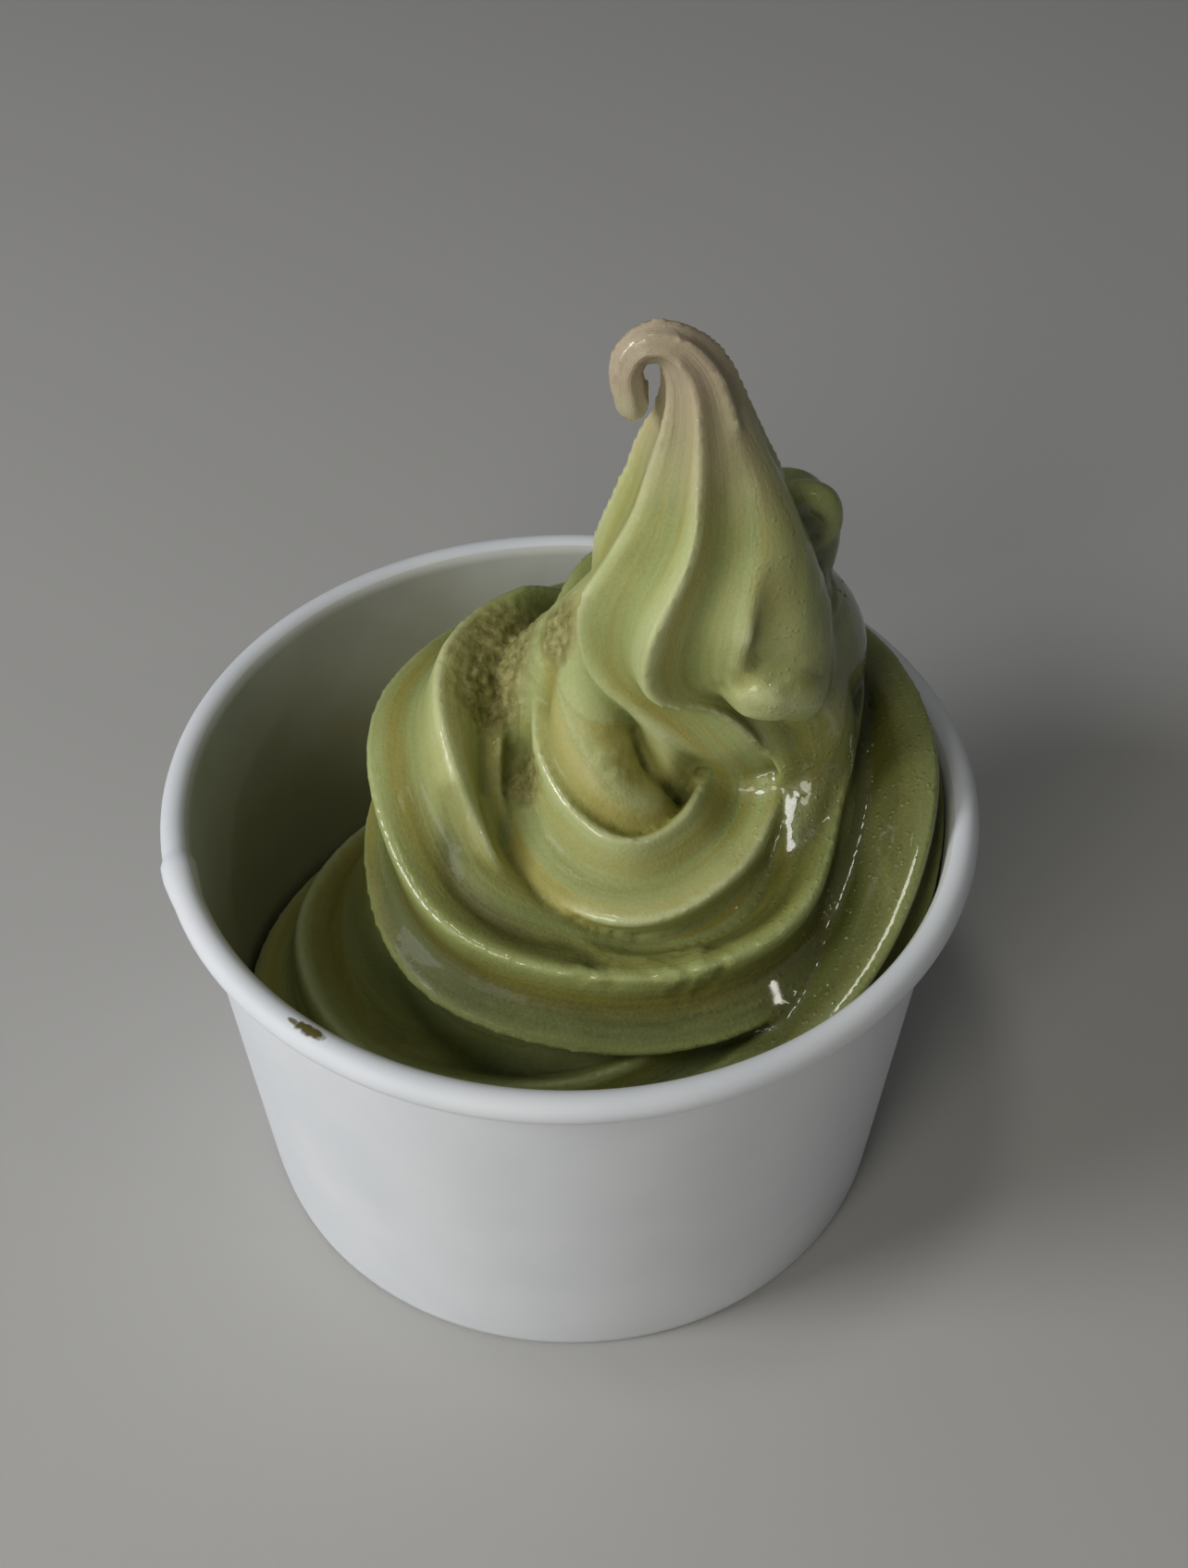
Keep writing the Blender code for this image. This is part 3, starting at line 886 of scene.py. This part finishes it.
raised, torn = relief(points, lay)
points = under_tip(inside_cup(points + normals * raised[:, None]))
cream.data.vertices.foreach_set("co", (points * MM).ravel())
cream.data.update()
store(cream.data, "lay", "FLOAT_VECTOR", lay)
store(cream.data, "torn", "FLOAT", torn)
if len(cream.data.polygons) * 2 > SKIN_TRIANGLES:
    decimate = cream.modifiers.new("Lighter", "DECIMATE")
    decimate.ratio = SKIN_TRIANGLES / (2 * len(cream.data.polygons))
    applied(cream, decimate)
cream.data.shade_smooth()
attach(cream, "root")
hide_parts("soft_serve")
print("cream:", len(cream.data.polygons), "faces")

# %% [markdown]
# The cream's colour and shine follow its shape. Shade is painted into its valleys and light onto its
# crests, so each point is compared with its smoothed surroundings: many rounds of smoothing tell the
# broad valleys, and few rounds tell the fine edges. Two runs of painted shade in deep valleys are listed.

# %% Valleys and crests
HOLLOW_ROUNDS = 60
EDGE_ROUNDS = 14
VALLEY_SHADE_STEPS = 6
# Runs of painted shade in deep valleys between the turns: x, y and z along each run, and how far it reaches
VALLEY_SHADE_RUNS = (
    (
        (25.3, -4.1, 70.6, 4),
        (27.1, -3.9, 63.2, 4.5),
        (27.3, -8, 58.8, 4.5),
        (26.3, -12.5, 56, 4),
        (22, -18, 54, 3.5),
        (16, -21.5, 53, 3),
    ),
    (
        (-13.1, -8.8, 64.1, 3),
        (-12.1, -14.1, 59.1, 4),
        (-9, -17.8, 57, 4.5),
        (-5.9, -20.4, 55.3, 4.5),
        (-1.8, -22.8, 54, 3.5),
        (2.3, -24.7, 53.8, 2.5),
    ),
)


def valley_shade_share(points):
    """From 0 to 1 where shade is painted along the valley runs."""
    share = np.zeros(len(points))
    for run in VALLEY_SHADE_RUNS:
        for *middle, reach in smooth_path(run, VALLEY_SHADE_STEPS):
            distance = np.linalg.norm(points - middle, axis=1)
            share = np.maximum(share, faded(distance, reach, 1.4))
    return softened(share)


def hollow_depth(mesh, rounds):
    """How deep each point lies below its smoothed neighbourhood, in millimetres."""
    points, normals = mesh_arrays(mesh)
    edges = np.empty(len(mesh.edges) * 2, np.int32)
    mesh.edges.foreach_get("vertices", edges)
    edges = edges.reshape(-1, 2)
    count = np.bincount(edges.ravel(), minlength=len(points))[:, None]
    moved = points.copy()
    for _ in range(rounds):
        total = np.zeros_like(moved)
        np.add.at(total, edges[:, 0], moved[edges[:, 1]])
        np.add.at(total, edges[:, 1], moved[edges[:, 0]])
        moved = 0.5 * moved + 0.5 * total / np.maximum(count, 1)
    return ((moved - points) * normals).sum(axis=1)


hollow = hollow_depth(cream.data, HOLLOW_ROUNDS)
store(cream.data, "hollow", "FLOAT", hollow)
# The 'melt' attribute holds painted shade along the valley runs
store(cream.data, "melt", "FLOAT", valley_shade_share(mesh_arrays(cream.data)[0]))
edge = -hollow_depth(cream.data, EDGE_ROUNDS)
store(cream.data, "edge", "FLOAT", edge)
print("edges", np.percentile(edge, [50, 75, 90, 95, 99]).round(3))
print("hollow from", hollow.min().round(2), "to", hollow.max().round(2), "mm")

# %% [markdown]
# Green tea soft serve is a frozen foam of milk, sugar and powdered leaf. It is an olive green, painted
# paler and yellower on the ridges as light, and darker in the valleys and outer turns as painted shade.
# Its surface is a thin wet film over a matt body, so it has soft lights from the body and small
# sharp ones from the film. Light goes a millimetre or two into it. The pulled tip has begun to dry
# and melt through, and is beige.

# %% Sizes and colours of the cream's finish
# How wide each pattern is in millimetres, and how many broad bands there are to a millimetre
LINE_MM = 0.7
CLOUD_OF_CREAM_MM = 12
ICE_MM = 0.4
DROP_MM = 1.1
FLAKE_MM = 1.3
BANDS_A_MM = 0.3
DROP_EDGE = (0.28, 0.1)
GRAIN_DEPTH_MM = 0.2
LINE_STRETCH = 0.05
# From painted shade in the hollows to painted light on the crests
CREAM_COLOURS = ((0.15, "#575d2c"), (0.5, "#949c5d"), (0.72, "#aeb679"), (0.95, "#c8cd96"))
GOLDEN = "#f2dfb8"
TIP_COLOUR = "#b39f8c"
TIP_HEIGHTS = (0.1, 0.116)
FLAKE_COLOURS = ((0.38, "#68632c"), (0.66, "#a9a36b"))
FLAKE_FRAY = 1.2
TORN_EDGE = (0.85, 1.35)
# Depths below the smoothed surface, in millimetres: crest to valley with their painted light and shade,
# then where a crest and a thin edge start and are full
HOLLOWS = (-1.1, 1.3)
PAINTED_LIGHT_TO_SHADE = (0.85, 0.05)
CREST = (-0.1, -0.7)
THIN_EDGE = (0.14, 0.3)
GOLDEN_BANDS = (0.42, 0.62)
# How strongly each pattern lightens the cream, and how much the painted shades of valleys and sides darken it
BAND_SHARE = 0.35
CLOUD_SHARE = 0.2
GRAIN_SHARE = 0.16
MEAN_SHADE = 0.24
VALLEY_SHADE_DARKENS = 0.26
SIDE_SHADE_DARKENS = 0.56
# Where shade is painted on the coil, in metres: out from its middle, down its side, to the right of a
# leaning plane and behind another. Close to the cup's floor the painted shade is weaker again.
COIL_MIDDLE = (0.005, -0.002, 0.06)
SHADE_REACH = (0.017, 0.03)
SHADE_HEIGHTS = (0.072, 0.053)
SHADE_LEAN = 0.16
SHADE_RIGHT = (0.0366, 0.0456)
SHADE_BACK = (0.009, 0.018)
SHADE_FADES_AT_FLOOR = (0.034, 0.046)
# To the right of this the film of melt is thick enough to shine
SHINY_RIGHT = (0.016, 0.022)
DRY_ROUGHNESS = 0.62
WET_ROUGHNESS = 0.34
DRY_FILM = 0.07

# %% [markdown]
# The coil's outer, lower turns, its right side and its back are painted darker, as painted shade where
# the light from the left falls off or is kept out.

# %% Where shade is painted on the cream
def painted_side_shade(tree, place):
    """Painted shade, from 0 on the coil's middle to 1 on its outer turns, its right side and its back."""
    around = add_node(tree, "ShaderNodeVectorMath", {"operation": "SUBTRACT"}, _0=place, _1=COIL_MIDDLE)
    level = add_node(tree, "ShaderNodeVectorMath", {"operation": "MULTIPLY"}, _0=around, _1=(1.0, 1.0, 0.0))
    reach = add_node(tree, "ShaderNodeVectorMath", {"operation": "LENGTH"}, _0=level)
    outer = add_node(tree, "ShaderNodeMapRange", _0=reach.outputs["Value"], _1=SHADE_REACH[0], _2=SHADE_REACH[1])
    parts = add_node(tree, "ShaderNodeSeparateXYZ", _0=place)
    low = add_node(
        tree, "ShaderNodeMapRange",
        _0=parts.outputs[2], _1=SHADE_HEIGHTS[0], _2=SHADE_HEIGHTS[1], _3=0.1,
    )
    both = add_node(tree, "ShaderNodeMath", {"operation": "MULTIPLY"}, _0=outer, _1=low)
    leaning = add_node(
        tree, "ShaderNodeMath", {"operation": "MULTIPLY_ADD"},
        _0=parts.outputs[2], _1=SHADE_LEAN, _2=parts.outputs[0],
    )
    side = add_node(tree, "ShaderNodeMapRange", _0=leaning, _1=SHADE_RIGHT[0], _2=SHADE_RIGHT[1])
    back = add_node(tree, "ShaderNodeMapRange", _0=parts.outputs[1], _1=SHADE_BACK[0], _2=SHADE_BACK[1], _4=0.7)
    shady = add_node(tree, "ShaderNodeMath", {"operation": "MAXIMUM"}, _0=back, _1=side)
    most = add_node(tree, "ShaderNodeMath", {"operation": "MAXIMUM"}, _0=both, _1=shady)
    floor = add_node(
        tree, "ShaderNodeMapRange",
        _0=parts.outputs[2], _1=SHADE_FADES_AT_FLOOR[0], _2=SHADE_FADES_AT_FLOOR[1], _3=0.15,
    )
    return add_node(tree, "ShaderNodeMath", {"operation": "MULTIPLY"}, _0=most, _1=floor)

# %% The cream's colour
def cream_colour(tree, place, raw_shade, warm):
    """Olive with painted light on crests and painted shade in hollows and outer turns, golden where drier,
    beige tip.
    """
    # Painted shade along the valley runs, darkening the cream there
    valley_shade_at = add_node(tree, "ShaderNodeAttribute", {"attribute_name": "melt"}).outputs["Fac"]
    shade = add_node(
        tree, "ShaderNodeMath", {"operation": "MULTIPLY_ADD"},
        _0=valley_shade_at, _1=-VALLEY_SHADE_DARKENS, _2=raw_shade,
    )
    # Painted shade on the coil's outer, lower turns, its right side and its back
    side_shaded = add_node(
        tree, "ShaderNodeMath", {"operation": "MULTIPLY_ADD"},
        _0=painted_side_shade(tree, place), _1=-SIDE_SHADE_DARKENS, _2=shade,
    )
    tone = add_node(tree, "ShaderNodeValToRGB", Fac=side_shaded)
    set_stops(tone.color_ramp, CREAM_COLOURS)
    tinting = {"data_type": "RGBA", "blend_type": "MULTIPLY"}
    golden = add_node(tree, "ShaderNodeMix", tinting, Factor=warm, _6=tone, _7=linear(GOLDEN)).outputs[2]
    height = add_node(tree, "ShaderNodeSeparateXYZ", _0=place)
    tip = add_node(
        tree, "ShaderNodeMapRange",
        _0=height.outputs[2], _1=TIP_HEIGHTS[0], _2=TIP_HEIGHTS[1], _4=0.8,
    )
    coloured = add_node(
        tree, "ShaderNodeMix", {"data_type": "RGBA"},
        Factor=tip, _6=golden, _7=linear(TIP_COLOUR),
    )
    return coloured.outputs[2]

# %% [markdown]
# The finish puts these together: painted light on the crests and painted shade in the valleys, with the
# lines along the rope, broad bands, clouds and ice grains, make the shade; torn places get their own
# crumbly tone, and the film of melt sets the roughness and the clear coat on top. The finest grain and
# the drops are a bump of a fifth of a millimetre.

# %% The whole finish
def cream_finish():
    """Matt frozen foam with fine lines along the rope, under a film of melt on the edges and the right."""
    made, tree, shader = new_material("green_tea_soft_serve")
    place = add_node(tree, "ShaderNodeTexCoord").outputs["Object"]
    lay_at = add_node(tree, "ShaderNodeAttribute", {"attribute_name": "lay"}).outputs["Vector"]
    hollow_at = add_node(tree, "ShaderNodeAttribute", {"attribute_name": "hollow"}).outputs["Fac"]
    stretched = add_node(
        tree, "ShaderNodeVectorMath", {"operation": "MULTIPLY"},
        _0=lay_at, _1=(1.0, 1.0, LINE_STRETCH),
    )
    lines = add_node(tree, "ShaderNodeTexNoise", Vector=stretched, Scale=1 / LINE_MM, Detail=3.0)
    bands = add_node(tree, "ShaderNodeTexNoise", Vector=stretched, Scale=BANDS_A_MM, Detail=3.0)
    cloud = add_node(tree, "ShaderNodeTexNoise", Vector=place, Scale=1 / (CLOUD_OF_CREAM_MM * MM), Detail=3.0)
    ice = add_node(tree, "ShaderNodeTexNoise", Vector=place, Scale=1 / (ICE_MM * MM), Detail=3.0)
    cells = add_node(tree, "ShaderNodeTexVoronoi", {"feature": "F1"}, Vector=place, Scale=1 / (DROP_MM * MM))

    # Painted light on the crests and painted shade in the valleys, by depth below the smoothed surface
    shade = add_node(
        tree, "ShaderNodeMapRange",
        _0=hollow_at, _1=HOLLOWS[0], _2=HOLLOWS[1], _3=PAINTED_LIGHT_TO_SHADE[0], _4=PAINTED_LIGHT_TO_SHADE[1],
    )
    patterns = ((bands, BAND_SHARE), (cloud, CLOUD_SHARE), (ice, GRAIN_SHARE), (lines, GRAIN_SHARE))
    for pattern, share in patterns:
        shade = add_node(
            tree, "ShaderNodeMath", {"operation": "MULTIPLY_ADD"},
            _0=pattern, _1=share, _2=shade,
        )
    evened = add_node(tree, "ShaderNodeMath", {"operation": "SUBTRACT"}, _0=shade, _1=MEAN_SHADE)
    crest = add_node(tree, "ShaderNodeMapRange", _0=hollow_at, _1=CREST[0], _2=CREST[1])
    striped = add_node(tree, "ShaderNodeMapRange", _0=bands, _1=GOLDEN_BANDS[0], _2=GOLDEN_BANDS[1])
    flat = add_node(tree, "ShaderNodeMath", {"operation": "SUBTRACT"}, _0=1.0, _1=crest)
    warm = add_node(tree, "ShaderNodeMath", {"operation": "MULTIPLY"}, _0=striped, _1=flat)
    torn_at = add_node(tree, "ShaderNodeAttribute", {"attribute_name": "torn"}).outputs["Fac"]
    colour = cream_colour(tree, place, evened, warm)
    flakes = add_node(
        tree, "ShaderNodeTexNoise",
        Vector=place, Scale=1 / (FLAKE_MM * MM), Detail=4.0, Roughness=0.7,
    )
    flake_tone = add_node(tree, "ShaderNodeValToRGB", Fac=flakes)
    set_stops(flake_tone.color_ramp, FLAKE_COLOURS)
    ragged = add_node(
        tree, "ShaderNodeMath", {"operation": "MULTIPLY_ADD"},
        _0=flakes, _1=FLAKE_FRAY, _2=torn_at,
    )
    amount = add_node(tree, "ShaderNodeMapRange", _0=ragged, _1=TORN_EDGE[0], _2=TORN_EDGE[1], _4=0.85)
    skin = add_node(tree, "ShaderNodeMix", {"data_type": "RGBA"}, Factor=amount, _6=colour, _7=flake_tone)
    tree.links.new(skin.outputs[2], shader.inputs["Base Color"])

    edge_at = add_node(tree, "ShaderNodeAttribute", {"attribute_name": "edge"}).outputs["Fac"]
    thin = add_node(tree, "ShaderNodeMapRange", _0=edge_at, _1=THIN_EDGE[0], _2=THIN_EDGE[1])
    parts = add_node(tree, "ShaderNodeSeparateXYZ", _0=place)
    right = add_node(
        tree, "ShaderNodeMapRange",
        _0=parts.outputs[0], _1=SHINY_RIGHT[0], _2=SHINY_RIGHT[1], _4=0.75,
    )
    wet = add_node(tree, "ShaderNodeMath", {"operation": "MAXIMUM"}, _0=thin, _1=right)
    dry = add_node(tree, "ShaderNodeMapRange", _0=wet, _3=DRY_ROUGHNESS, _4=WET_ROUGHNESS)
    tree.links.new(dry.outputs[0], shader.inputs["Roughness"])
    film = add_node(tree, "ShaderNodeMapRange", _0=wet, _3=DRY_FILM)
    dull = add_node(tree, "ShaderNodeMapRange", _0=amount, _1=0.0, _2=0.6, _3=1.0, _4=0.1)
    wet_film = add_node(tree, "ShaderNodeMath", {"operation": "MULTIPLY"}, _0=film, _1=dull)
    tree.links.new(wet_film.outputs[0], shader.inputs["Coat Weight"])
    shader.inputs["Coat Roughness"].default_value = 0.07
    shader.inputs["IOR"].default_value = 1.4
    shader.inputs["Subsurface Weight"].default_value = 0.2
    shader.inputs["Subsurface Radius"].default_value = (1.0, 0.9, 0.35)
    shader.inputs["Subsurface Scale"].default_value = MM
    drops = add_node(tree, "ShaderNodeMapRange", _0=cells, _1=DROP_EDGE[0], _2=DROP_EDGE[1])
    few = add_node(tree, "ShaderNodeMath", {"operation": "MULTIPLY"}, _0=drops, _1=right)
    grain = add_node(tree, "ShaderNodeMath", {"operation": "MULTIPLY_ADD"}, _0=ice, _1=0.7, _2=lines)
    height = add_node(tree, "ShaderNodeMath", {"operation": "ADD"}, _0=few, _1=grain)
    bump = add_node(tree, "ShaderNodeBump", Height=height, Strength=0.5, Distance=GRAIN_DEPTH_MM * MM)
    tree.links.new(bump.outputs[0], shader.inputs["Normal"])
    return made


cream.data.materials.clear()
cream.data.materials.append(cream_finish())

# %% [markdown]
# Where the melt on the outer turns runs together it stands in tiny beads, which give small bright
# points of light. They are true geometry, as a bump map is lost in a copy of the mesh. Each is a
# flattened ball, more than half sunk into the cream, at a place drawn with a fixed seed. Its finish
# is wet melt, smooth and clear on top, in a dark tone that matches the painted shade on that side.

# %% Beads of melt
BEAD_COUNT = 70
BEAD_SMALLEST = 0.1
BEAD_LARGEST = 0.28
BEAD_FLOCK = 5
BEAD_SEED = 11
BEAD_FLATTENED = 0.45
BEAD_SUNK = 0.1
# The wet side starts at this x and this height, in millimetres
WET_SIDE_X = 27
WET_SIDE_Z = 46
# How far up or to the front a place must face, and how strong its flock's noise must be
FACING = 0.2
FLOCKED = 0.2


def bead_places(points, normals):
    """Seeded places for the beads, in flocks on the wet right-hand turns."""
    draw = random.Random(BEAD_SEED)
    open_side = normals[:, 2] - normals[:, 1] > FACING
    wet_side = (points[:, 0] > WET_SIDE_X) & (points[:, 2] > WET_SIDE_Z)
    flocked = []
    for row in np.flatnonzero(open_side & wet_side):
        if noise.noise(mathutils.Vector(points[row] / BEAD_FLOCK)) > FLOCKED:
            flocked.append(int(row))
    return draw.sample(flocked, BEAD_COUNT), draw


def melt_beads(points, normals):
    ball = bmesh.new()
    bmesh.ops.create_icosphere(ball, subdivisions=2, radius=1)
    shape = np.array([vertex.co for vertex in ball.verts])
    corners = [[vertex.index for vertex in face.verts] for face in ball.faces]
    ball.free()
    rows, draw = bead_places(points, normals)
    groups = []
    for row in rows:
        radius = draw.uniform(BEAD_SMALLEST, BEAD_LARGEST)
        normal = unit(normals[row])
        low = shape - BEAD_FLATTENED * (shape @ normal)[:, None] * normal
        groups.append((points[row] - BEAD_SUNK * radius * normal + low * radius, corners))
    return joined_surfaces(groups)


def bead_finish():
    made, _, shader = new_material("melted_cream_film")
    # Painted shade: as dark as the shaded right-hand turns around the beads
    shader.inputs["Base Color"].default_value = linear("#737a3e")
    shader.inputs["Roughness"].default_value = 0.05
    shader.inputs["IOR"].default_value = 1.35
    shader.inputs["Coat Weight"].default_value = 1.0
    shader.inputs["Coat Roughness"].default_value = 0.03
    return made


points, normals = mesh_arrays(cream.data)
beads = new_piece("melt_beads", *melt_beads(points, normals))
beads.data.materials.append(bead_finish())
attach(beads, "root")
print("beads of melt:", BEAD_COUNT)

# %% [markdown]
# The cup stands on a plain pale floor in soft studio light. The main light comes from the left,
# low and a little in front, as in the photograph, so the cone's left face is bright and its right side
# falls into shade. A second from the front left keeps the folds readable, and two small lamps, above
# and to the right, put the sharp lights on the wet crests.

# %% Floor and lights
FLOOR_SIZE = 2.4
FLOOR_COLOUR = "#b9b8b4"
LIGHT_DISTANCE = 0.9
LIGHT_TARGET = (0, 0, 0.05)
# Name, degrees round from the front and above the floor, diameter in metres, strength and colour
LIGHTS = (
    ("left_window", 290, 33, 0.35, 1.65, "#f8f9ff"),
    ("front_window", 332, 30, 0.35, 0.8, "#fffaf0"),
    ("ceiling", 300, 80, 0.13, 0.22, "#fffdf6"),
    ("right_lamp", 52, 45, 0.05, 0.05, "#fffaf0"),
)
ROOM_COLOUR = "#c8ccd0"
ROOM_STRENGTH = 0.12


def studio_floor():
    mesh = bpy.data.meshes.new("studio_floor")
    half = FLOOR_SIZE / 2
    corners = [(-half, -half, 0), (half, -half, 0), (half, half, 0), (-half, half, 0)]
    mesh.from_pydata(corners, [], [(0, 1, 2, 3)])
    made = bpy.data.objects.new("studio_floor", mesh)
    bpy.context.scene.collection.objects.link(made)
    finish, _, shader = new_material("pale_floor")
    shader.inputs["Base Color"].default_value = linear(FLOOR_COLOUR)
    shader.inputs["Roughness"].default_value = 0.7
    mesh.materials.append(finish)
    return made


def area_light(name, place, target, size, watts, colour):
    lamp = bpy.data.lights.new(name, "AREA")
    lamp.shape = "DISK"
    lamp.size = size
    lamp.energy = watts
    lamp.color = linear(colour)[:3]
    made = bpy.data.objects.new(name, lamp)
    made.location = place
    aim = mathutils.Vector(target) - mathutils.Vector(place)
    made.rotation_euler = aim.to_track_quat("-Z", "Y").to_euler()
    bpy.context.scene.collection.objects.link(made)
    return made


studio_floor()
for name, azimuth, elevation, size, strength, colour in LIGHTS:
    turn, rise = math.radians(azimuth), math.radians(elevation)
    level = math.cos(rise)
    way = mathutils.Vector((math.sin(turn) * level, -math.cos(turn) * level, math.sin(rise)))
    watts = strength * math.pi * LIGHT_DISTANCE**2
    area_light(name, way * LIGHT_DISTANCE, LIGHT_TARGET, size, watts, colour)
world = bpy.data.worlds.new("studio")
bpy.context.scene.world = world
world.use_nodes = True
background = world.node_tree.nodes["Background"]
background.inputs["Color"].default_value = linear(ROOM_COLOUR)
background.inputs["Strength"].default_value = ROOM_STRENGTH
bpy.context.scene.view_settings.view_transform = "Standard"

# %% [markdown]
# The camera was fitted to the photograph from the cup's rim and foot. It stands about 27 centimetres
# from the cup and looks down at 45 degrees.

# %% The camera
CAMERA_PLACE = (0, -0.185333, 0.240009)
FOCAL_PIXELS = 2400
LONG_SIDE_PIXELS = 1695
SENSOR_MM = 36
PITCH, YAW, ROLL = [math.radians(angle) for angle in (44.628, 0.874, 0.096)]
lens = bpy.data.cameras.new("camera")
lens.sensor_width = SENSOR_MM
lens.lens = FOCAL_PIXELS * SENSOR_MM / LONG_SIDE_PIXELS
lens.clip_start = 0.01
camera = bpy.data.objects.new("camera", lens)
camera.location = CAMERA_PLACE
ahead = mathutils.Vector((math.sin(YAW) * math.cos(PITCH), math.cos(YAW) * math.cos(PITCH), -math.sin(PITCH)))
camera.rotation_euler = (ahead.to_track_quat("-Z", "Y") @ mathutils.Quaternion((0, 0, 1), ROLL)).to_euler()
bpy.context.scene.collection.objects.link(camera)
bpy.context.scene.camera = camera
